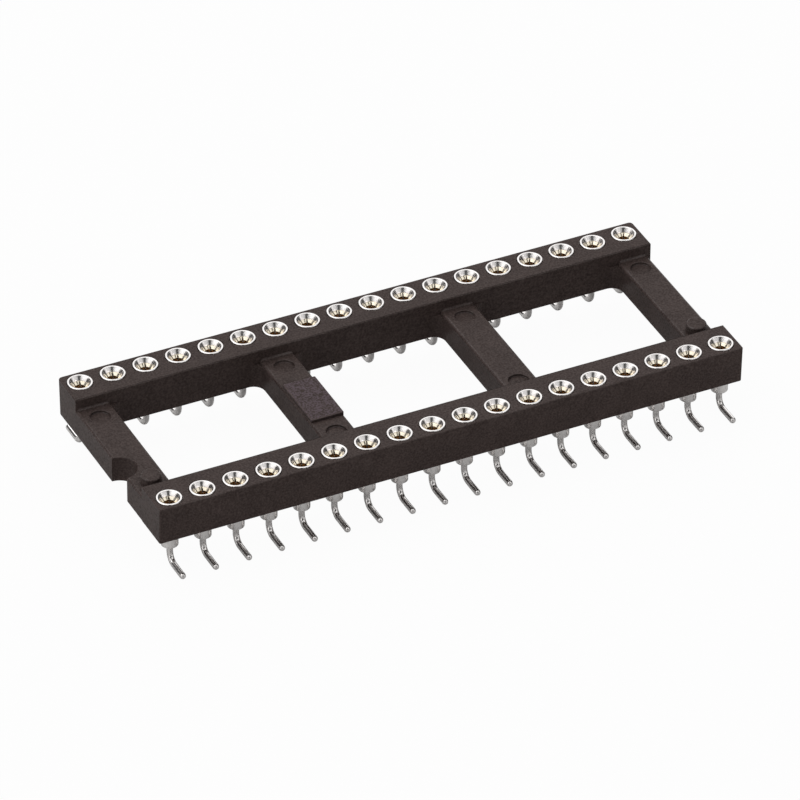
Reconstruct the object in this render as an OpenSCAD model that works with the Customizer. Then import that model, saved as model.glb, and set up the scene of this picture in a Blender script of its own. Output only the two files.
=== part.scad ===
// Open-frame DIP socket with turned contacts, for boards without holes.
// A moulded frame of two rails and four cross bars carries two rows of contacts. Each contact is
// a turned sleeve, whose solder tail is bent outwards, with a sprung clip pressed into its mouth.
// +X runs along the rails, the first row lies at -Y, and the feet stand on Z = 0.

/* [Contacts] */
// Contacts in each row
contacts_per_row = 18; // [9:1:19]
// Distance between neighbouring contacts in a row
pitch = 2.54; // [2.2:0.01:3.2]
// Distance between the two rows
row_spacing = 15.24; // [13:0.01:20]

/* [Rails] */
// Rail beyond the last contact of a row
rail_end = 1.22; // [1.05:0.01:3]
// Rail from the row of contacts to the outer face, at the top
rail_outer = 1.17; // [1.05:0.01:3]
// Draft of the outer faces, from the top to the bottom of a rail
outer_draft = 0.12; // [0:0.01:0.2]
// Rail from the row of contacts to the inner face
rail_inner = 1.97; // [1.2:0.01:3]
// Height of the rails
rail_h = 2.98; // [2.4:0.01:5]
// Free height under the rails, for the solder tails
standoff = 2.6; // [2.3:0.01:5]
// Rounding of the frame's four upright corners
corner_r = 0.3; // [0.1:0.01:0.6]
// Broken edge along the top of each rail
edge_break = 0.08; // [0.02:0.01:0.1]

/* [Cross bars] */
// Width of a cross bar
bar_w = 2.66; // [1.8:0.01:4]
// Drop from the rails' top to the bars' top
bar_drop = 0.9; // [0.4:0.01:1.4]
// Cross bars between the two end bars
inner_bars = 2; // [1:1:3]
// Rounding of the bars' top edges
bar_edge_r = 0.22; // [0.05:0.01:0.4]
// Set-back of the right end bar from the ends of the rails
end_setback = 0.29; // [0:0.01:0.5]
// Fillet in the corners of the windows
window_r = 0.9; // [0.3:0.01:2]
// Radius of the index notch in the left end bar
notch_r = 1.3; // [0.6:0.01:1.6]
// Shift of the index notch from the middle, towards contact 1
notch_shift = 1.85; // [0:0.01:2]

/* [Moulding marks] */
// Diameter of the round ejector marks on the bars
mark_d = 1.5; // [0.8:0.01:1.8]
// Distance from a rail's inner face to the middle of an ejector mark
mark_gap = 1.3; // [1:0.01:2]
// Depth of a sunk ejector mark
mark_depth = 0.2; // [0.05:0.01:0.4]
// Height of the raised ejector marks on the end bars
mark_rise = 0.7; // [0.2:0.01:0.85]
// Length of the raised bare pad on the first inner bar
pad_l = 4.8; // [2:0.01:5.5]
// Height of the pad
pad_h = 0.27; // [0.1:0.01:0.4]
// Set-back of the pad from the bar's left side
pad_setback = 0.12; // [0:0.01:0.6]
// Shift of the pad from the middle, towards contact 1
pad_shift = 0.4; // [0:0.01:0.6]

/* [Sleeves] */
// Diameter of the sleeve's flange
flange_d = 1.87; // [1.74:0.01:2]
// Height of the flange
flange_h = 0.8; // [0.72:0.01:1.4]
// Height of the rim over the rail
rim_proud = 0.03; // [0:0.01:0.2]
// Diameter of the barrel inside the rail
barrel_d = 1.34; // [1.3:0.01:1.5]
// Diameter of the collar under the rail
collar_d = 1.25; // [0.8:0.01:1.28]
// Height of the collar
collar_h = 1.03; // [0.4:0.01:1.2]
// Diameter of the mouth at the rim
mouth_d = 1.56; // [1.34:0.01:1.62]
// Broken edge of the flange and the collar
sleeve_edge = 0.05; // [0.02:0.01:0.06]
// Clearance between a sleeve and its hole in the rail
sleeve_clearance = 0.015; // [0.005:0.005:0.03]

/* [Solder tails] */
// Diameter of the tail wire
wire_d = 0.46; // [0.3:0.01:0.6]
// Radius of the bend, at the middle of the wire
bend_r = 0.75; // [0.4:0.01:0.9]
// Reach of the foot from the row of contacts
foot_reach = 2.38; // [1.2:0.01:4]
// Broken edge at the tip of the foot
tip_break = 0.14; // [0.02:0.01:0.15]

/* [Clips] */
// Depth of the clip under the sleeve's rim
clip_depth = 0.35; // [0.1:0.01:0.4]
// Diameter of the clip's head
head_d = 1.2; // [1.12:0.01:1.26]
// Height of the head
head_h = 0.45; // [0.36:0.01:0.6]
// Diameter of the throat that a lead enters
throat_d = 0.82; // [0.6:0.01:0.84]
// Depth of the lead-in cone over the throat
funnel_h = 0.19; // [0.1:0.01:0.34]
// Length of the throat
throat_l = 0.4; // [0.3:0.01:0.6]
// Thickness of the spring fingers
finger_t = 0.07; // [0.04:0.01:0.08]
// Length of the fingers under the throat
finger_l = 1.4; // [0.8:0.01:1.5]
// Gap between the finger tips
grip_d = 0.38; // [0.2:0.01:0.5]
// Width of the slits between the fingers
slit_w = 0.09; // [0.04:0.01:0.1]
// Closed ring over the slits
ring_h = 0.08; // [0.04:0.01:0.15]
// Clearance between a clip and its sleeve
clip_clearance = 0.01; // [0.005:0.005:0.02]
// Ledge in the sleeve that the clip's head sits on
ledge_w = 0.04; // [0.03:0.01:0.06]
// Room under the finger tips
tip_room = 0.1; // [0.05:0.01:0.3]

/* [Hidden] */
$fn = 64;
// Small overlap that makes joined shapes one solid and cuts clean
eps = 0.05;
// Fingers of a clip, and the turn that faces their slits along the socket's diagonal view
finger_count = 4;
slit_turn = 64;

contact_count = 2 * contacts_per_row;
row_y = row_spacing / 2;
frame_l = (contacts_per_row - 1) * pitch + 2 * rail_end;
outer_y = row_y + rail_outer;
inner_y = row_y - rail_inner;

rail_bottom = standoff;
rail_top = standoff + rail_h;
bar_top = rail_top - bar_drop;
bar_step = (frame_l - bar_w) / (inner_bars + 1);
mark_y = inner_y - mark_gap;

rim_z = rail_top + rim_proud;
flange_seat = rim_z - flange_h;
collar_bottom = rail_bottom - collar_h;

head_top = rim_z - clip_depth;
head_seat = head_top - head_h;
throat_top = head_top - funnel_h;
throat_bottom = throat_top - throat_l;
finger_tip = throat_bottom - finger_l;
head_bore_r = head_d / 2 + clip_clearance;
finger_bore_r = head_bore_r - ledge_w;
bore_floor = finger_tip - tip_room;

function two_digits(i) = str(i < 10 ? "0" : "", i);
function facing(i) = contact_count + 1 - i;
function sleeve_name(i) = str("sleeve_", two_digits(i));
function clips_name(i) = str("clips_", two_digits(i), "_", two_digits(facing(i)));

// Contacts count along the first row and come back along the second
function first_row(i) = i <= contacts_per_row;
function column(i) = first_row(i) ? i : facing(i);
function contact_x(i) = (column(i) - (contacts_per_row + 1) / 2) * pitch;
function contact_y(i) = first_row(i) ? -row_y : row_y;

// Cross bars count from 0 at the left end to inner_bars + 1 at the right end
function last_bar(j) = j == inner_bars + 1;
function bar_left(j) = -frame_l / 2 + j * bar_step;
function bar_right(j) = bar_left(j) + bar_w - (last_bar(j) ? end_setback : 0);
function bar_middle(j) = (bar_left(j) + bar_right(j)) / 2;

// Places a shape at a contact, with -Y pointing out of the socket
module at_contact(i) {
    translate([contact_x(i), contact_y(i), 0])
        rotate([0, 0, first_row(i) ? 0 : 180])
            children();
}

// Rail of the first row: its section along X, cut to length with round outer corners
module rail() {
    section = [
        [-outer_y + outer_draft, rail_bottom],
        [-inner_y, rail_bottom],
        [-inner_y, rail_top - edge_break],
        [-inner_y - edge_break, rail_top],
        [-outer_y + edge_break, rail_top],
        [-outer_y, rail_top - edge_break],
    ];
    width = outer_y - inner_y;
    intersection() {
        rotate([90, 0, 90])
            translate([0, 0, -frame_l / 2])
                linear_extrude(frame_l)
                    polygon(section);
        translate([0, -outer_y, rail_bottom]) {
            translate([-frame_l / 2, corner_r, 0])
                cube([frame_l, width - corner_r, rail_h]);
            translate([corner_r - frame_l / 2, 0, 0])
                cube([frame_l - 2 * corner_r, width, rail_h]);
            for (side = [-1, 1])
                translate([side * (frame_l / 2 - corner_r), corner_r, 0])
                    cylinder(r = corner_r, h = rail_h);
        }
    }
}

// Cross bar with rounded top edges, rooted in both rails
module cross_bar(j) {
    width = bar_right(j) - bar_left(j);
    height = bar_top - rail_bottom;
    span = 2 * (inner_y + eps);
    translate([bar_left(j), -span / 2, rail_bottom]) {
        cube([width, span, height - bar_edge_r]);
        translate([bar_edge_r, 0, 0])
            cube([width - 2 * bar_edge_r, span, height]);
        for (x = [bar_edge_r, width - bar_edge_r])
            translate([x, 0, height - bar_edge_r])
                rotate([-90, 0, 0])
                    cylinder(r = bar_edge_r, h = span);
    }
}

// Fillet in a corner between bar and rail, for a corner that opens towards +X and +Y
module window_fillet() {
    difference() {
        translate([-eps, -eps, rail_bottom])
            cube([window_r + eps, window_r + eps, bar_top - bar_edge_r - rail_bottom]);
        translate([window_r, window_r, rail_bottom - eps])
            cylinder(r = window_r, h = rail_h + 2 * eps);
    }
}

// The four fillets of the window to the right of bar j
module window_fillets(j) {
    for (left = [true, false], front = [true, false])
        translate([left ? bar_right(j) : bar_left(j + 1), front ? -inner_y : inner_y, 0])
            mirror([left ? 0 : 1, 0, 0])
                mirror([0, front ? 0 : 1, 0])
                    window_fillet();
}

// Stepped hole for one sleeve
module contact_hole() {
    translate([0, 0, rail_bottom - eps])
        cylinder(d = barrel_d + 2 * sleeve_clearance, h = rail_h + 2 * eps);
    translate([0, 0, flange_seat])
        cylinder(d = flange_d + 2 * sleeve_clearance, h = flange_h + eps);
}

// Raised bare pad on the first inner bar, flush with the bar's right side
module bar_pad() {
    translate([bar_left(1) + pad_setback, -pad_l / 2 - pad_shift, bar_top - bar_edge_r])
        cube([bar_w - pad_setback, pad_l, pad_h + bar_edge_r]);
}

// Moulded frame
module frame() {
    color([0.11, 0.095, 0.095])
    difference() {
        union() {
            rail();
            mirror([0, 1, 0]) rail();
            for (j = [0 : inner_bars + 1])
                cross_bar(j);
            for (j = [0 : inner_bars])
                window_fillets(j);
            for (j = [0, inner_bars + 1])
                translate([bar_middle(j), -mark_y, bar_top - eps])
                    cylinder(d = mark_d, h = mark_rise + eps);
            bar_pad();
        }
        for (i = [1 : contact_count])
            at_contact(i) contact_hole();
        translate([-frame_l / 2, -notch_shift, rail_bottom - eps])
            cylinder(r = notch_r, h = rail_h);
        for (j = [0 : inner_bars + 1])
            translate([bar_middle(j), mark_y, bar_top - mark_depth])
                cylinder(d = mark_d, h = mark_depth + eps);
        for (j = [1 : inner_bars])
            translate([bar_middle(j), -mark_y, bar_top - mark_depth])
                cylinder(d = mark_d, h = mark_depth + eps);
    }
}

// Turned body of a sleeve, hollow from the rim down to the floor of its bore
module sleeve_turning() {
    rotate_extrude()
        polygon([
            [mouth_d / 2, rim_z],
            [flange_d / 2 - sleeve_edge, rim_z],
            [flange_d / 2, rim_z - sleeve_edge],
            [flange_d / 2, flange_seat],
            [barrel_d / 2, flange_seat],
            [barrel_d / 2, rail_bottom],
            [collar_d / 2, rail_bottom],
            [collar_d / 2, collar_bottom + sleeve_edge],
            [collar_d / 2 - sleeve_edge, collar_bottom],
            [0, collar_bottom],
            [0, bore_floor],
            [finger_bore_r, bore_floor],
            [finger_bore_r, head_seat],
            [head_bore_r, head_seat],
            [head_bore_r, head_top],
        ]);
}

// Solder tail: the wire comes down from the collar, bends outwards and ends in a straight foot
module solder_tail() {
    wire_r = wire_d / 2;
    bend_top = wire_r + bend_r;
    translate([0, 0, bend_top])
        cylinder(d = wire_d, h = collar_bottom + eps - bend_top);
    translate([0, -bend_r, bend_top])
        rotate([0, 90, 0])
            rotate_extrude(angle = 90)
                translate([bend_r, 0])
                    circle(d = wire_d);
    translate([0, -bend_r, wire_r])
        rotate([90, 0, 0]) {
            straight = foot_reach - bend_r - tip_break;
            cylinder(d = wire_d, h = straight);
            translate([0, 0, straight])
                cylinder(r1 = wire_r, r2 = wire_r - tip_break, h = tip_break);
        }
}

// Sleeve of contact i, with its tail
module sleeve(i) {
    color([0.78, 0.77, 0.75])
    at_contact(i) {
        sleeve_turning();
        solder_tail();
    }
}

// Sprung clip: a funnel-mouthed head over fingers that close towards their tips
module clip() {
    head_r = head_d / 2;
    throat_r = throat_d / 2;
    grip_r = grip_d / 2;
    lip = finger_t / 3;
    difference() {
        rotate_extrude()
            polygon([
                [head_r - lip, head_top],
                [head_r, head_top],
                [head_r, head_seat],
                [throat_r + finger_t, head_seat],
                [throat_r + finger_t, throat_bottom],
                [grip_r + finger_t, finger_tip],
                [grip_r, finger_tip],
                [throat_r, throat_bottom],
                [throat_r, throat_top],
            ]);
        for (k = [0 : finger_count / 2 - 1])
            rotate([0, 0, slit_turn + k * 360 / finger_count])
                translate([-head_d, -slit_w / 2, finger_tip - eps])
                    cube([2 * head_d, slit_w, head_top - ring_h - finger_tip + eps]);
    }
}

// The clips of contact i and of the contact that faces it across the socket
module clip_pair(i) {
    color([0.86, 0.74, 0.45])
    for (k = [i, facing(i)])
        at_contact(k) clip();
}

frame();

for (i = [1 : contact_count])
    sleeve(i);

for (i = [1 : contacts_per_row])
    clip_pair(i);
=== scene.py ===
import math

import bpy
from mathutils import Matrix, Vector


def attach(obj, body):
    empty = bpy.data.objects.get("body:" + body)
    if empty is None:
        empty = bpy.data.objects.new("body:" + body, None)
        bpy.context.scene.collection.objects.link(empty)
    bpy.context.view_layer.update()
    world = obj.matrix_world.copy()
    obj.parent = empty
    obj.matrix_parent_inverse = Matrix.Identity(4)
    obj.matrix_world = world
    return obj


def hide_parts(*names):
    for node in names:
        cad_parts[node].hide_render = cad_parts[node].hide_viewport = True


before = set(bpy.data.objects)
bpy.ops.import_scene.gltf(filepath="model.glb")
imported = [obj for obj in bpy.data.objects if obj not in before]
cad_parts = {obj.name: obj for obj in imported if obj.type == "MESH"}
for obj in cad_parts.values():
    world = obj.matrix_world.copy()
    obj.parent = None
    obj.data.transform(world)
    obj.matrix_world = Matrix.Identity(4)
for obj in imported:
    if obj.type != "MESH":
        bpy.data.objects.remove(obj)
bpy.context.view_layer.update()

# Sizes are in millimetres, as in the part's source, and each finished piece is brought to metres.
MM = 0.001
# Points nearer than TINY are one. Joined shapes overlap by LAP. What cuts goes PAST the face that
# it cuts, and WELL_PAST it where nothing else is near.
TINY = 0.0005
LAP = 0.01
PAST = 0.3
WELL_PAST = 1.0

PER_ROW = 18
PITCH = 2.54
ROW_Y = 7.62

HALF_L = 22.81
OUTER_Y = 8.79
OUTER_DRAFT = 0.12
INNER_Y = 5.65
RAIL_BOTTOM = 2.6
RAIL_TOP = 5.58
FRONT_CORNER_R = 0.12
BACK_CORNER_R = 0.3
EDGE_BREAK = 0.08
FOOT_BREAK = 0.05
END_BREAK = 0.04

BAR_TOP = 4.68
BAR_W = 2.66
BAR_STEP = (2 * HALF_L - BAR_W) / 3
BAR_EDGE_R = 0.22
BAR_ROOT = 0.3
ROOT_R = 0.2
FILLET_FADE = 0.2
FILLET_TIP = 0.12
END_SETBACK = 0.29
WINDOW_R = 0.9
NOTCH_R = 1.3
NOTCH_Y = -1.85
NOTCH_TOP_BREAK = 0.05
NOTCH_FOOT_BREAK = 0.06
MARK_R = 0.75
MARK_Y = 4.35
MARK_DEPTH = 0.2
MARK_BREAK = 0.03
MARK_RISE = 0.7
MARK_BEND = 0.14
MARK_FOOT = 0.04
MARK_ROOT = 0.2
PAD_LOW_Y, PAD_HIGH_Y = -2.8, 2.0
PAD_RISE = 0.27
PAD_SETBACK = 0.12
PAD_BREAK = 0.09

RIM_Z = 5.61
FLANGE_R = 0.935
FLANGE_SEAT = 4.81
FLANGE_BREAK = 0.03
BARREL_R = 0.67
COLLAR_R = 0.625
COLLAR_BOTTOM = 1.57
MOUTH_R = 0.78
LIP_BEND = 0.05
RIM_BEND = 0.062
COLLAR_BEND = 0.06
HOLE_R = 0.685
HOLE_BREAK = 0.08
SEAT_R = 0.95
SEAT_BREAK = 0.06
WIRE_R = 0.23
BEND_R = 0.75
FOOT_REACH = 2.38
FOOT_DOME = (0, 14, 28, 42, 54, 66, 76, 85)

HEAD_TOP = 5.26
HEAD_SEAT = 4.81
HEAD_R = 0.6
HEAD_BREAK = 0.03
HEAD_LIP = ((0.014, 0), (0.020, 0), (0.024, 0.002))
HEAD_BORE_R = 0.61
FINGER_BORE_R = 0.57
BORE_FLOOR = 3.17
THROAT_TOP = 5.07
THROAT_BOTTOM = 4.67
THROAT_R = 0.41
THROAT_EASE = ((0, -0.03), (0.002, -0.006), (0.008, 0.009))
FINGER_TIP = 3.27
FINGER_T = 0.07
GRIP_R = 0.19
GRIP_NOSE = (0.02, 0.015)
SLIT_W = 0.09
SLIT_TOP = 5.18
SLIT_TURN = math.radians(64)

# Steps around a turned piece, and the angle in degrees up to which neighbouring faces look smooth.
PEG_STEPS = 64
METAL_STEPS = 48
FRAME_SMOOTH = 35
METAL_SMOOTH = 20

PLASTIC_DARK = (0.0410, 0.0298, 0.0272, 1)
PLASTIC_PALE = (0.0735, 0.0535, 0.0488, 1)
PAD_SPECK = (0.091, 0.065, 0.077, 1)
# Paler edge colour: a little wear, and on the pad's rounded edges a painted highlight.
WORN_EDGE_HIGHLIGHT = (0.125, 0.094, 0.089, 1)
HAIRLINE = (0.125, 0.095, 0.088, 1)
RIM_TIN = (0.74, 0.715, 0.70, 1), (0.86, 0.835, 0.82, 1)
# The tail's tin is darker than the rim's: partly dipped tin, partly painted shade.
TAIL_TIN = (0.70, 0.675, 0.66, 1), (0.82, 0.795, 0.78, 1)
GILT = (0.78, 0.70, 0.56, 1), (0.88, 0.81, 0.67, 1)
# Darker gold, painted as shade deep in the clip's hole.
HOLE_SHADE_GILT = (0.74, 0.55, 0.32, 1)
WHITE = (1, 1, 1, 1)
FLOOR_GREY = (0.68, 0.68, 0.68, 1)
ROOM_GREY = (0.10, 0.10, 0.10, 1)

# How far the floor goes to white where the eye sees it, and where metal mirrors it.
FLOOR_TO_EYE = 0.96
FLOOR_IN_METAL = 0.06
FLOOR_SIZE = 8
# The room is white up to this height of a direction.
HORIZON = 0.03

# The photograph's eye, in metres: its place, and its right, up and back directions.
EYE = Vector((-0.209888, -0.432074, 0.347613))
EYE_RIGHT = Vector((0.90086304, -0.43408343, 0.0041665))
EYE_UP = Vector((0.25032784, 0.5273045, 0.81196425))
EYE_BACK = Vector((-0.35465723, -0.73042559, 0.5836923))
EYE_SENSOR = 36
EYE_LENS = 373.58
EYE_RANGE = 0.05, 20
MIDDLE = Vector((0, 0, 0.004))

# Each lamp's degrees to the right of the eye and up, its distance, width and height in metres, and
# its brightness. The contacts' mouths mirror them: the gap ahead of the eye is the dark line there.
LAMPS = {
    "back_softbox": (180, 32, 0.45, 0.55, 0.56, 1.15),
    "left_card": (-42, 11, 0.45, 0.64, 0.11, 1.25),
    "left_strip": (-88, 9, 0.45, 0.18, 0.10, 0.8),
    "left_softbox": (-68, 47, 0.45, 0.34, 0.26, 1.2),
    "front_softbox": (-25, 46, 0.45, 0.18, 0.10, 1.3),
    "right_card": (47, 11, 0.45, 0.46, 0.11, 0.72),
    "right_strip": (84, 9, 0.45, 0.22, 0.10, 0.72),
    "right_softbox": (70, 34.5, 0.45, 0.30, 0.12, 1.05),
    "high_softbox": (64, 58, 0.45, 0.48, 0.13, 1.4),
    "top_softbox": (-120, 66, 0.5, 0.58, 0.52, 1.25),
}


# Modelling by hand

def bare():
    """Object mode, with nothing selected."""
    if bpy.context.mode != "OBJECT":
        bpy.ops.object.mode_set(mode="OBJECT")
    bpy.ops.object.select_all(action="DESELECT")


def take(piece):
    """This piece alone is selected and active."""
    bare()
    piece.select_set(True)
    bpy.context.view_layer.objects.active = piece


def pick(piece, kind, wanted):
    """Edit mode, with only those points, edges or faces selected that pass the test."""
    take(piece)
    bpy.ops.object.mode_set(mode="EDIT")
    bpy.ops.mesh.select_mode(type=kind)
    bpy.ops.mesh.select_all(action="DESELECT")
    bpy.ops.object.mode_set(mode="OBJECT")
    mesh = piece.data
    for item in {"VERT": mesh.vertices, "EDGE": mesh.edges, "FACE": mesh.polygons}[kind]:
        item.select = wanted(item)
    bpy.ops.object.mode_set(mode="EDIT")


def near(a, b):
    return abs(a - b) < TINY


def block(name, low, high):
    """A box between two corners."""
    bare()
    middle = [(a + b) / 2 for a, b in zip(low, high)]
    bpy.ops.mesh.primitive_cube_add(size=1, location=middle)
    piece = bpy.context.object
    piece.name = name
    piece.scale = [b - a for a, b in zip(low, high)]
    bpy.ops.object.transform_apply(location=True, rotation=True, scale=True)
    return piece


def round_edges(piece, width, segments, wanted):
    """Rounds the edges whose two ends pass the test."""
    pick(piece, "EDGE", lambda edge: wanted(*(piece.data.vertices[i].co for i in edge.vertices)))
    bpy.ops.mesh.bevel(offset=width, segments=segments, affect="EDGES")
    bare()


def upright(a, b):
    return near(a.x, b.x) and near(a.y, b.y)


def draw_ring(move, share, centre):
    """Draws the selected ring on by a move, then scales it about a centre."""
    bpy.ops.mesh.extrude_edges_move(TRANSFORM_OT_translate={"value": move})
    bpy.ops.transform.resize(value=share, center_override=centre)


def arc(radius, height, bend, start, end, steps):
    """Points of a profile on a circle, between two angles in degrees."""
    turns = [math.radians(start + (end - start) * k / steps) for k in range(steps + 1)]
    return [(radius + bend * math.cos(turn), height + bend * math.sin(turn)) for turn in turns]


def broken_edge(radius, face, width, way):
    """Points of a cut's profile that opens at 45 degrees at a face, up (1) or down (-1)."""
    flare = radius + width + LAP
    return [(radius, face - way * width), (flare, face + way * LAP), (flare, face + way * PAST)]


def turned(name, profile, steps):
    """A turned skin through (radius, height) points, left in edit mode on its last ring."""
    bare()
    radius, height = profile[0]
    bpy.ops.mesh.primitive_circle_add(vertices=steps, radius=radius, location=(0, 0, height))
    piece = bpy.context.object
    piece.name = name
    bpy.ops.object.transform_apply(location=True, rotation=True, scale=True)
    bpy.ops.object.mode_set(mode="EDIT")
    bpy.ops.mesh.select_all(action="SELECT")
    for next_radius, next_height in profile[1:]:
        share = next_radius / radius
        draw_ring((0, 0, next_height - height), (share, share, 1), (0, 0, next_height))
        radius, height = next_radius, next_height
    return piece


def close_up(piece):
    """Joins doubled points, caps open rings and turns all faces outwards."""
    take(piece)
    bpy.ops.object.mode_set(mode="EDIT")
    bpy.ops.mesh.select_all(action="SELECT")
    bpy.ops.mesh.remove_doubles(threshold=TINY)
    bpy.ops.mesh.select_all(action="SELECT")
    bpy.ops.mesh.fill_holes(sides=0)
    bpy.ops.mesh.select_all(action="SELECT")
    bpy.ops.mesh.normals_make_consistent(inside=False)
    bare()
    return piece


def peg(name, profile, x, y):
    """A solid turned shape that stands at a place on the frame."""
    piece = close_up(turned(name, profile, PEG_STEPS))
    piece.data.transform(Matrix.Translation((x, y, 0)))
    return piece


def combine(body, tool, how):
    """Adds a shape to the body, or cuts it out of it."""
    take(body)
    change = body.modifiers.new("combine", "BOOLEAN")
    change.operation = how
    change.solver = "EXACT"
    change.object = tool
    bpy.ops.object.modifier_apply(modifier=change.name)
    bpy.data.objects.remove(tool)


def copy_of(model, name, place):
    """A copy with its own mesh, moved in its mesh."""
    piece = model.copy()
    piece.data = model.data.copy()
    piece.name = piece.data.name = name
    bpy.context.scene.collection.objects.link(piece)
    piece.data.transform(place)
    return piece


def join(pieces):
    """One object from several."""
    take(pieces[0])
    for piece in pieces:
        piece.select_set(True)
    bpy.ops.object.join()
    return bpy.context.object


def smooth(piece, degrees):
    """Shades rounded faces smooth, and holds flat faces flat beside their rounded edges."""
    take(piece)
    bpy.ops.object.shade_smooth_by_angle(angle=math.radians(degrees))
    change = piece.modifiers.new("flats", "WEIGHTED_NORMAL")
    change.keep_sharp = True
    bpy.ops.object.modifier_apply(modifier=change.name)


def to_metres(piece):
    take(piece)
    piece.scale = (MM, MM, MM)
    bpy.ops.object.transform_apply(location=True, rotation=True, scale=True)


# Places

def column(i):
    """The place of contact i along its row: the first row counts up, the second comes back."""
    return i if i <= PER_ROW else 2 * PER_ROW + 1 - i


def contact_place(i):
    """Moves a contact from the origin, with its tail towards -Y, to its place in the frame."""
    x = (column(i) - (PER_ROW + 1) / 2) * PITCH
    if i <= PER_ROW:
        return Matrix.Translation((x, -ROW_Y, 0))
    return Matrix.Translation((x, ROW_Y, 0)) @ Matrix.Rotation(math.pi, 4, "Z")


def bar_left(j):
    return -HALF_L + j * BAR_STEP


def bar_right(j):
    return bar_left(j) + BAR_W - (END_SETBACK if j == 3 else 0)


def bar_middle(j):
    return (bar_left(j) + bar_right(j)) / 2


# Moulded frame

def lean_edge(piece, y, shift):
    """Moves the bottom edge of the face at y, so that the face leans."""
    pick(piece, "VERT", lambda spot: near(spot.co.y, y) and near(spot.co.z, RAIL_BOTTOM))
    bpy.ops.transform.translate(value=(0, shift, 0))
    bare()


def rail(side):
    outer, inner = side * OUTER_Y, side * INNER_Y
    piece = block(
        "rail",
        (-HALF_L, min(outer, inner), RAIL_BOTTOM),
        (HALF_L, max(outer, inner), RAIL_TOP),
    )
    lean_edge(piece, outer, -side * OUTER_DRAFT)
    round_edges(piece, END_BREAK, 2, lambda a, b: upright(a, b) and near(a.y, inner))
    corner_r = FRONT_CORNER_R if side < 0 else BACK_CORNER_R
    round_edges(piece, corner_r, 6, lambda a, b: not near(a.z, b.z) and not near(a.y, b.y))
    for level, width in ((RAIL_TOP, EDGE_BREAK), (RAIL_BOTTOM, FOOT_BREAK)):
        round_edges(piece, width, 3, lambda a, b: near(a.z, level) and near(b.z, level))
    return piece


def cross_bar(j):
    low = RAIL_BOTTOM + LAP
    reach = INNER_Y + BAR_ROOT
    piece = block("bar", (bar_left(j) + LAP, -reach, low), (bar_right(j), reach, BAR_TOP))
    for level, width, segments in ((BAR_TOP, BAR_EDGE_R, 6), (low, FOOT_BREAK, 2)):
        round_edges(
            piece,
            width,
            segments,
            lambda a, b: near(a.x, b.x) and near(a.z, level) and near(b.z, level),
        )
    return piece


def taper(piece, x, reach, corner):
    """Draws the flat end at x on along X, down to almost nothing at a corner (y, z)."""
    pick(piece, "FACE", lambda face: near(face.center.x, x))
    bpy.ops.mesh.extrude_region_move(TRANSFORM_OT_translate={"value": (reach, 0, 0)})
    bpy.ops.transform.resize(
        value=(1, FILLET_TIP, FILLET_TIP),
        center_override=(x + reach, *corner),
    )
    bare()


def root_fillet(j, side):
    """The small hollow rounding where the top of bar j meets a rail."""
    left = bar_left(j) + BAR_EDGE_R + 3 * LAP
    right = bar_right(j) - BAR_EDGE_R - 2 * LAP
    face, open_y = side * (INNER_Y + LAP), side * (INNER_Y - ROOT_R)
    low, top = BAR_TOP - LAP, BAR_TOP + ROOT_R
    piece = block(
        "fillet",
        (left, min(face, open_y), low),
        (right, max(face, open_y), top),
    )
    hollow_r = ROOT_R + 0.3 * LAP
    reach = [(hollow_r, left - WELL_PAST), (hollow_r, right + WELL_PAST)]
    hollow = peg("hollow", reach, 0, 0)
    hollow.data.transform(Matrix.Rotation(math.pi / 2, 4, "Y"))
    hollow.data.transform(Matrix.Translation((0, open_y, top)))
    combine(piece, hollow, "DIFFERENCE")
    taper(piece, left, -FILLET_FADE, (face, low))
    taper(piece, right, FILLET_FADE, (face, low))
    return piece


def window_web(j):
    """The rounded corners of the window right of bar j, on a thin ring rooted in bars and rails."""
    left, right = bar_right(j), bar_left(j + 1)
    low, top = RAIL_BOTTOM + 2 * LAP, BAR_TOP - BAR_EDGE_R
    root = BAR_ROOT / 2
    web = block(
        "web",
        (left - root, -INNER_Y - root, low),
        (right + root, INNER_Y + root, top),
    )
    opening = block(
        "opening",
        (left - LAP, -INNER_Y - LAP, low - WELL_PAST),
        (right + LAP, INNER_Y + LAP, top + WELL_PAST),
    )
    round_edges(opening, WINDOW_R, 12, upright)
    combine(web, opening, "DIFFERENCE")
    return web


def bar_pad():
    piece = block(
        "pad",
        (bar_left(1) + PAD_SETBACK, PAD_LOW_Y, BAR_TOP - 2 * BAR_EDGE_R),
        (bar_right(1) - LAP, PAD_HIGH_Y, BAR_TOP + PAD_RISE),
    )
    round_edges(
        piece,
        PAD_BREAK,
        4,
        lambda a, b: upright(a, b) or near(a.z, b.z) and a.z > BAR_TOP,
    )
    return piece


def raised_mark(j):
    top = BAR_TOP + MARK_RISE
    profile = [
        (MARK_R + MARK_FOOT, BAR_TOP - MARK_ROOT),
        (MARK_R + MARK_FOOT, BAR_TOP - MARK_FOOT / 2),
        (MARK_R, BAR_TOP + MARK_FOOT),
        *arc(MARK_R - MARK_BEND, top - MARK_BEND, MARK_BEND, 0, 90, 6),
    ]
    return peg("raised_mark", profile, bar_middle(j), -MARK_Y)


def sunk_mark(j, side):
    floor = BAR_TOP - MARK_DEPTH
    profile = [
        (MARK_R - MARK_BREAK, floor),
        (MARK_R, floor + MARK_BREAK),
        *broken_edge(MARK_R, BAR_TOP, MARK_BREAK, 1),
    ]
    return peg("sunk_mark", profile, bar_middle(j), side * MARK_Y)


def notch():
    profile = [
        *reversed(broken_edge(NOTCH_R, RAIL_BOTTOM, NOTCH_FOOT_BREAK, -1)),
        *broken_edge(NOTCH_R, BAR_TOP, NOTCH_TOP_BREAK, 1),
    ]
    return peg("notch", profile, -HALF_L, NOTCH_Y)


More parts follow.
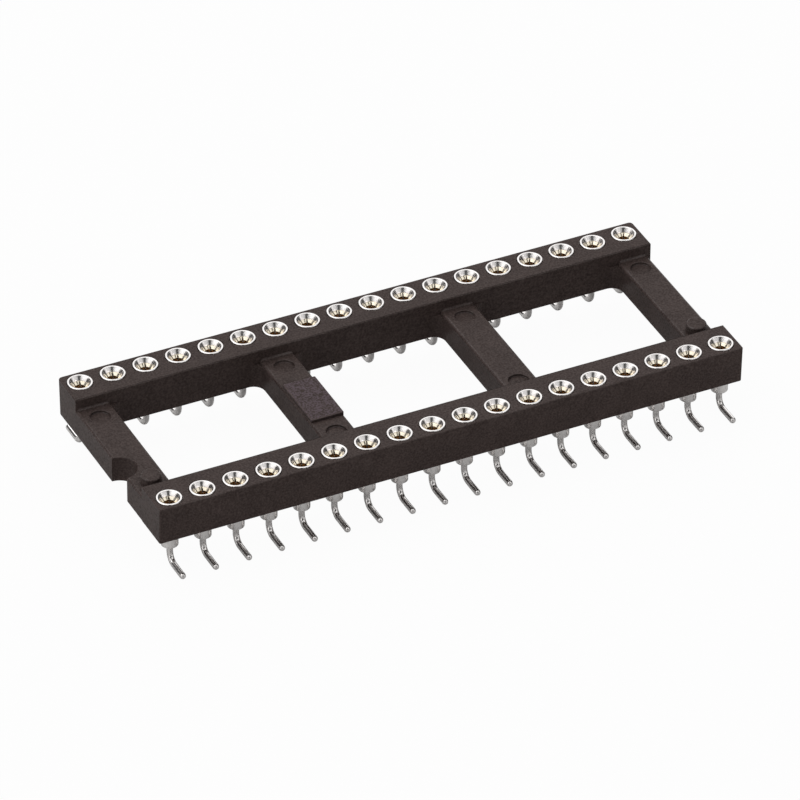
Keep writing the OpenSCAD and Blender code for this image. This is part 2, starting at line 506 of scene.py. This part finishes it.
def contact_holes():
    profile = [
        *reversed(broken_edge(HOLE_R, RAIL_BOTTOM, HOLE_BREAK, -1)),
        (HOLE_R, FLANGE_SEAT),
        (SEAT_R, FLANGE_SEAT),
        *broken_edge(SEAT_R, RAIL_TOP, SEAT_BREAK, 1),
    ]
    model = peg("hole", profile, 0, 0)
    holes = [copy_of(model, "hole", contact_place(i)) for i in range(1, 2 * PER_ROW + 1)]
    bpy.data.objects.remove(model)
    return join(holes)


def moulded_frame():
    body = rail(-1)
    for shape in (
        *(cross_bar(j) for j in range(4)),
        rail(1),
        *(root_fillet(j, side) for j in range(4) for side in (-1, 1)),
        *(window_web(j) for j in range(3)),
        bar_pad(),
        raised_mark(0),
        raised_mark(3),
    ):
        combine(body, shape, "UNION")
    combine(body, contact_holes(), "DIFFERENCE")
    combine(body, notch(), "DIFFERENCE")
    for j, side in ((0, 1), (1, -1), (1, 1), (2, -1), (2, 1), (3, 1)):
        combine(body, sunk_mark(j, side), "DIFFERENCE")
    # Where several edges meet, the cuts leave doubled points.
    close_up(body)
    body.name = body.data.name = "moulded_frame"
    smooth(body, FRAME_SMOOTH)
    to_metres(body)
    return body


# Turned sleeve with its bent tail

def sleeve_model():
    # The mouth's straight cone runs into the round of the rim.
    cone = math.degrees(math.atan2(MOUTH_R - HEAD_BORE_R, RIM_Z - HEAD_TOP))
    inset = LIP_BEND * math.tan(math.radians(90 - cone) / 2)
    profile = [
        (FINGER_BORE_R, BORE_FLOOR),
        (FINGER_BORE_R, HEAD_SEAT),
        (HEAD_BORE_R, HEAD_SEAT),
        (HEAD_BORE_R, HEAD_TOP),
        *arc(MOUTH_R + inset, RIM_Z - LIP_BEND, LIP_BEND, 180 - cone, 90, 5),
        *arc(FLANGE_R - RIM_BEND, RIM_Z - RIM_BEND, RIM_BEND, 90, 0, 6),
        (FLANGE_R, FLANGE_SEAT + FLANGE_BREAK),
        (FLANGE_R - FLANGE_BREAK, FLANGE_SEAT),
        (BARREL_R, FLANGE_SEAT),
        (BARREL_R, RAIL_BOTTOM),
        (COLLAR_R, RAIL_BOTTOM),
        *arc(COLLAR_R - COLLAR_BEND, COLLAR_BOTTOM + COLLAR_BEND, COLLAR_BEND, 0, -90, 6),
        *arc(WIRE_R + COLLAR_BEND, COLLAR_BOTTOM - COLLAR_BEND, COLLAR_BEND, 90, 180, 6),
        (WIRE_R, WIRE_R + BEND_R),
    ]
    piece = turned("sleeve_model", profile, METAL_STEPS)
    bpy.ops.mesh.spin(
        steps=10,
        angle=math.radians(90),
        center=(0, -BEND_R, WIRE_R + BEND_R),
        axis=(1, 0, 0),
    )
    y, radius = -BEND_R, WIRE_R
    for degrees in FOOT_DOME:
        turn = math.radians(degrees)
        next_y = WIRE_R * (1 - math.sin(turn)) - FOOT_REACH
        next_radius = WIRE_R * math.cos(turn)
        share = next_radius / radius
        draw_ring((0, next_y - y, 0), (share, 1, share), (0, next_y, WIRE_R))
        y, radius = next_y, next_radius
    close_up(piece)
    smooth(piece, METAL_SMOOTH)
    return piece


# Sprung clip

def clip_model():
    outer = THROAT_R + FINGER_T
    lip = [(HEAD_R - inwards, HEAD_TOP - drop) for inwards, drop in HEAD_LIP]
    nose_in, nose_drop = GRIP_NOSE
    profile = [
        *reversed(lip),
        (HEAD_R, HEAD_TOP - HEAD_BREAK),
        (HEAD_R, HEAD_SEAT),
        (outer, HEAD_SEAT),
        (outer, THROAT_BOTTOM),
        (GRIP_R + FINGER_T, FINGER_TIP),
        (GRIP_R + nose_in, FINGER_TIP - nose_drop),
        (GRIP_R, FINGER_TIP),
        (THROAT_R, THROAT_BOTTOM),
        *((THROAT_R + outwards, THROAT_TOP + rise) for outwards, rise in THROAT_EASE),
        lip[-1],
    ]
    piece = close_up(turned("clip_model", profile, METAL_STEPS))
    half = SLIT_W / 2
    for turn in (SLIT_TURN, SLIT_TURN + math.pi / 2):
        slit = block(
            "slit",
            (-WELL_PAST, -half, FINGER_TIP - PAST),
            (WELL_PAST, half, SLIT_TOP),
        )
        slit.data.transform(Matrix.Rotation(turn, 4, "Z"))
        combine(piece, slit, "DIFFERENCE")
    smooth(piece, METAL_SMOOTH)
    return piece


# Shader nodes

def feed(target, value):
    """Links a socket, or sets its value."""
    if isinstance(value, bpy.types.NodeSocket):
        target.id_data.links.new(value, target)
    else:
        target.default_value = value


def add(tree, kind, *values, **settings):
    """A shader node with its settings, and its inputs fed in order (None leaves one as it is)."""
    made = tree.nodes.new("ShaderNode" + kind)
    for name, value in settings.items():
        setattr(made, name, value)
    for target, value in zip(made.inputs, values):
        if value is not None:
            feed(target, value)
    return made


def maths(tree, operation, a, b=0.5, c=0.5):
    return add(tree, "Math", a, b, c, operation=operation).outputs[0]


def product(tree, a, b):
    return maths(tree, "MULTIPLY", a, b)


def total(tree, a, b):
    return maths(tree, "ADD", a, b)


def mixture(tree, first, second, share):
    """One mask from two, with this share of the second."""
    return total(tree, product(tree, first, 1 - share), product(tree, second, share))


def span(tree, value, low, high, to_low=0.0, to_high=1.0):
    """Stretches a range of values to another, held at its ends."""
    return add(tree, "MapRange", value, low, high, to_low, to_high).outputs[0]


def between(tree, mask, low, high):
    """A value between two, chosen by a mask."""
    return span(tree, mask, 0.0, 1.0, low, high)


def below(tree, place, level):
    """0 above a level in millimetres, and 1 from a tenth of a millimetre under it."""
    height = add(tree, "SeparateXYZ", place).outputs[2]
    return span(tree, height, level * MM, (level - 0.1) * MM)


def noise(tree, place, scale, detail, roughness):
    return add(tree, "TexNoise", place, None, scale, detail, roughness).outputs[0]


def blend(tree, share, first, second):
    """A colour between two."""
    made = tree.nodes.new("ShaderNodeMix")
    made.data_type = "RGBA"
    feed(made.inputs["Factor"], share)
    feed(made.inputs[6], first)
    feed(made.inputs[7], second)
    return made.outputs[2]


def bump(tree, shader, height, strength, distance):
    made = add(tree, "Bump")
    made.inputs["Strength"].default_value = strength
    made.inputs["Distance"].default_value = distance
    feed(made.inputs["Height"], height)
    feed(shader.inputs["Normal"], made.outputs[0])


# Node groups

def new_group(name, output, **inputs):
    """An empty shader node group for Object coordinates, with its input and output sockets."""
    tree = bpy.data.node_groups.new(name, "ShaderNodeTree")
    tree.interface.new_socket("Vector", in_out="INPUT", socket_type="NodeSocketVector")
    for label, value in inputs.items():
        socket = tree.interface.new_socket(label, in_out="INPUT", socket_type="NodeSocketFloat")
        socket.default_value = value
    tree.interface.new_socket(output, in_out="OUTPUT", socket_type="NodeSocketFloat")
    given = tree.nodes.new("NodeGroupInput").outputs
    return tree, given, tree.nodes.new("NodeGroupOutput").inputs[output]


def use_group(tree, group, place, **values):
    made = tree.nodes.new("ShaderNodeGroup")
    made.node_tree = group
    feed(made.inputs["Vector"], place)
    for label, value in values.items():
        feed(made.inputs[label], value)
    return made.outputs[0]


def mottle_group():
    """Soft cloudy patches, from 0 to 1."""
    tree, given, mask = new_group("mottle", "Mask", Scale=1000.0, Contrast=0.2)
    cloud = noise(tree, given["Vector"], given["Scale"], detail=4.0, roughness=0.55)
    low = maths(tree, "SUBTRACT", 0.5, given["Contrast"])
    high = total(tree, 0.5, given["Contrast"])
    feed(mask, span(tree, cloud, low, high))
    return tree


def turning_group():
    """Fine rings left by the lathe, around the nearest contact's axis."""
    tree, given, rings = new_group("turning_rings", "Rings", Spacing=0.00005)
    place = add(tree, "SeparateXYZ", given["Vector"]).outputs
    pitch = PITCH * MM
    x = maths(tree, "SUBTRACT", maths(tree, "WRAP", place[0], pitch, 0.0), pitch / 2)
    y = maths(tree, "SUBTRACT", maths(tree, "ABSOLUTE", place[1]), ROW_Y * MM)
    radius = maths(tree, "SQRT", total(tree, product(tree, x, x), product(tree, y, y)))
    travel = maths(tree, "DIVIDE", total(tree, radius, place[2]), given["Spacing"])
    wave = maths(tree, "SINE", product(tree, travel, 2 * math.pi))
    feed(rings, span(tree, wave, -1.0, 1.0))
    return tree


def scuff_group():
    """Sparse hairline scuffs, 1 on a line and 0 beside it."""
    tree, given, mask = new_group("hairline_scuffs", "Mask", Scale=300.0, Width=0.01)
    slant, stretch = (0.0, 0.0, 0.4), (0.25, 1.0, 1.0)
    drawn = add(tree, "Mapping", given["Vector"], None, slant, stretch).outputs[0]
    lines = noise(tree, drawn, given["Scale"], detail=2.0, roughness=0.4)
    off = maths(tree, "ABSOLUTE", maths(tree, "SUBTRACT", lines, 0.5))
    line = span(tree, off, 0.0, given["Width"], 1.0, 0.0)
    patches = noise(tree, given["Vector"], given["Scale"], detail=2.0, roughness=0.5)
    feed(mask, product(tree, line, span(tree, patches, 0.52, 0.62)))
    return tree


mottle = mottle_group()
turning = turning_group()
scuffs = scuff_group()


# Materials

def new_material(name):
    """A material with its tree, its Principled shader and the Object coordinates."""
    material = bpy.data.materials.new(name)
    material.use_nodes = True
    tree = material.node_tree
    place = tree.nodes.new("ShaderNodeTexCoord").outputs["Object"]
    return material, tree, tree.nodes["Principled BSDF"], place


def moulded_plastic():
    material, tree, shader, place = new_material("moulded_black_plastic")
    patches = use_group(tree, mottle, place, Scale=620.0, Contrast=0.12)
    grain = use_group(tree, mottle, place, Scale=7000.0, Contrast=0.14)
    pits = use_group(tree, mottle, place, Scale=16000.0, Contrast=0.25)
    hairlines = use_group(tree, scuffs, place, Scale=380.0, Width=0.012)

    # Rounded and broken edges, which neither stand nor lie, are a little paler: wear, and a painted
    # highlight.
    normal = add(tree, "NewGeometry").outputs["True Normal"]
    tilt = maths(tree, "ABSOLUTE", add(tree, "SeparateXYZ", normal).outputs[2])
    edge = product(tree, span(tree, tilt, 0.15, 0.3), span(tree, tilt, 0.97, 0.90))
    rubbed = product(tree, edge, between(tree, patches, 0.35, 1.0))

    # The pad's top was left coarse by the mould and is paler and speckled.
    spot = add(tree, "SeparateXYZ", place).outputs
    pad_y, pad_half = (PAD_LOW_Y + PAD_HIGH_Y) / 2, (PAD_HIGH_Y - PAD_LOW_Y) / 2
    beside = maths(tree, "COMPARE", spot[0], bar_middle(1) * MM, BAR_W / 2 * MM)
    along = maths(tree, "COMPARE", spot[1], pad_y * MM, pad_half * MM)
    above = maths(tree, "GREATER_THAN", spot[2], (BAR_TOP + PAD_RISE / 2) * MM)
    on_pad = product(tree, product(tree, beside, along), above)
    specks = product(tree, use_group(tree, mottle, place, Scale=7000.0, Contrast=0.05), on_pad)

    colour = blend(tree, mixture(tree, patches, grain, 0.75), PLASTIC_DARK, PLASTIC_PALE)
    colour = blend(tree, product(tree, specks, 0.9), colour, PAD_SPECK)
    # Edges are painted paler, most on the pad: a little wear, and there a painted highlight along
    # its rounded edges.
    worn_and_highlit = product(tree, rubbed, between(tree, on_pad, 0.15, 1.0))
    colour = blend(tree, worn_and_highlit, colour, WORN_EDGE_HIGHLIGHT)
    colour = blend(tree, product(tree, hairlines, 0.15), colour, HAIRLINE)
    feed(shader.inputs["Base Color"], colour)

    rough = between(tree, grain, 0.28, 0.40)
    polished = product(tree, rubbed, 0.14)
    feed(shader.inputs["Roughness"], maths(tree, "SUBTRACT", rough, polished))
    shader.inputs["IOR"].default_value = 1.46
    relief = mixture(tree, grain, pits, 0.4)
    shine = total(tree, between(tree, relief, 0.0, 0.12), product(tree, rubbed, 0.3))
    feed(shader.inputs["Specular IOR Level"], shine)
    bump(tree, shader, relief, strength=0.35, distance=0.000012)
    return material


def turned_tin():
    material, tree, shader, place = new_material("turned_tin")
    rings = use_group(tree, turning, place, Spacing=0.000045)
    patches = use_group(tree, mottle, place, Scale=1800.0, Contrast=0.18)
    grain = use_group(tree, mottle, place, Scale=12000.0, Contrast=0.22)
    # The tail under the rail is dipped and duller than the turned rim, and its darker tin is partly
    # painted shade.
    dipped = below(tree, place, RAIL_BOTTOM)
    bright, dull_and_shaded = blend(tree, patches, *RIM_TIN), blend(tree, patches, *TAIL_TIN)
    feed(shader.inputs["Base Color"], blend(tree, dipped, bright, dull_and_shaded))
    shader.inputs["Metallic"].default_value = 1.0
    rough = between(tree, mixture(tree, patches, grain, 0.4), 0.08, 0.16)
    feed(shader.inputs["Roughness"], total(tree, rough, product(tree, dipped, 0.05)))
    relief = mixture(tree, rings, grain, 0.4)
    relief = product(tree, relief, between(tree, dipped, 1.0, 0.2))
    bump(tree, shader, relief, strength=0.25, distance=0.000002)
    return material


def gilt_spring():
    material, tree, shader, place = new_material("gilt_spring")
    rings = use_group(tree, turning, place, Spacing=0.00006)
    patches = use_group(tree, mottle, place, Scale=2600.0, Contrast=0.2)
    # Below the funnel the gold is painted deeper and darker, as shade in the hole, and is duller.
    deep = below(tree, place, THROAT_TOP)
    colour = blend(tree, deep, blend(tree, patches, *GILT), HOLE_SHADE_GILT)
    feed(shader.inputs["Base Color"], colour)
    shader.inputs["Metallic"].default_value = 1.0
    rough = between(tree, patches, 0.10, 0.18)
    feed(shader.inputs["Roughness"], total(tree, rough, product(tree, deep, 0.2)))
    bump(tree, shader, rings, strength=0.2, distance=0.0000015)
    return material


# Pieces on the frame

def fit(piece, material, slot, *nodes):
    """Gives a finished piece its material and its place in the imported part."""
    piece.data.materials.clear()
    piece.data.materials.append(material)
    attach(piece, "root")
    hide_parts(*nodes)


fit(moulded_frame(), moulded_plastic(), "frame_plastic", "frame")

tin, gilt = turned_tin(), gilt_spring()
sleeve, clip = sleeve_model(), clip_model()
for i in range(1, 2 * PER_ROW + 1):
    place = contact_place(i)
    turned_sleeve = copy_of(sleeve, f"turned_sleeve_{i:02d}", place)
    to_metres(turned_sleeve)
    fit(turned_sleeve, tin, "sleeve_tin", f"sleeve_{i:02d}")
    first, second = column(i), 2 * PER_ROW + 1 - column(i)
    sprung_clip = copy_of(clip, f"sprung_clip_{i:02d}", place)
    to_metres(sprung_clip)
    fit(sprung_clip, gilt, "clip_gold", f"clips_{first:02d}_{second:02d}")
bpy.data.objects.remove(sleeve)
bpy.data.objects.remove(clip)


# Floor, light and camera

def studio_floor():
    """A pale floor, near white to the eye, that keeps the part's shadow and is clear from below."""
    bare()
    bpy.ops.mesh.primitive_plane_add(size=FLOOR_SIZE, location=(0, 0, 0))
    floor = bpy.context.object
    floor.name = "floor"
    material = bpy.data.materials.new("pale_floor")
    material.use_nodes = True
    tree = material.node_tree
    tree.nodes.remove(tree.nodes["Principled BSDF"])
    path = add(tree, "LightPath").outputs
    seen = product(tree, path["Is Camera Ray"], FLOOR_TO_EYE)
    mirrored = maths(tree, "MAXIMUM", path["Is Glossy Ray"], path["Is Transmission Ray"])
    lift = maths(tree, "MAXIMUM", seen, product(tree, mirrored, FLOOR_IN_METAL))
    matt = add(tree, "BsdfDiffuse", FLOOR_GREY).outputs[0]
    white = add(tree, "Emission", WHITE, 1.0).outputs[0]
    top = add(tree, "MixShader", lift, matt, white).outputs[0]
    clear = add(tree, "BsdfTransparent").outputs[0]
    under = add(tree, "NewGeometry").outputs["Backfacing"]
    both = add(tree, "MixShader", under, top, clear).outputs[0]
    feed(tree.nodes["Material Output"].inputs["Surface"], both)
    floor.data.materials.append(material)


def softbox(name, turn, rise, distance, width, height, brightness):
    """A soft rectangular lamp that looks at the part."""
    ahead = Vector((EYE_BACK.x, EYE_BACK.y, 0)).normalized()
    aside = Vector((EYE_RIGHT.x, EYE_RIGHT.y, 0)).normalized()
    turn, rise = math.radians(turn), math.radians(rise)
    level = ahead * math.cos(turn) + aside * math.sin(turn)
    towards = level * math.cos(rise) + Vector((0, 0, math.sin(rise)))
    bpy.ops.object.light_add(type="AREA", location=MIDDLE + towards * distance)
    lamp = bpy.context.object
    lamp.name = name
    lamp.rotation_euler = towards.to_track_quat("Z", "Y").to_euler()
    lamp.data.shape = "RECTANGLE"
    lamp.data.size = width
    lamp.data.size_y = height
    lamp.data.energy = brightness * math.pi * width * height
    lamp.visible_camera = False


def studio_world():
    """A dim room around the lamps, white near and below the horizon, and all white to the eye."""
    world = bpy.data.worlds.new("studio")
    bpy.context.scene.world = world
    world.use_nodes = True
    tree = world.node_tree
    direction = add(tree, "TexCoord").outputs["Generated"]
    up = add(tree, "SeparateXYZ", direction).outputs[2]
    shade = blend(tree, span(tree, up, 0.0, HORIZON), WHITE, ROOM_GREY)
    shade = blend(tree, add(tree, "LightPath").outputs["Is Camera Ray"], shade, WHITE)
    feed(tree.nodes["Background"].inputs["Color"], shade)


def camera():
    bpy.ops.object.camera_add(location=EYE)
    eye = bpy.context.object
    eye.name = "camera"
    axes = Matrix((EYE_RIGHT, EYE_UP, EYE_BACK)).transposed()
    eye.rotation_euler = axes.to_euler()
    eye.data.sensor_width = EYE_SENSOR
    eye.data.lens = EYE_LENS
    eye.data.clip_start, eye.data.clip_end = EYE_RANGE
    bpy.context.scene.camera = eye


studio_floor()
for name, setting in LAMPS.items():
    softbox(name, *setting)
studio_world()
camera()
bpy.context.scene.view_settings.view_transform = "Standard"
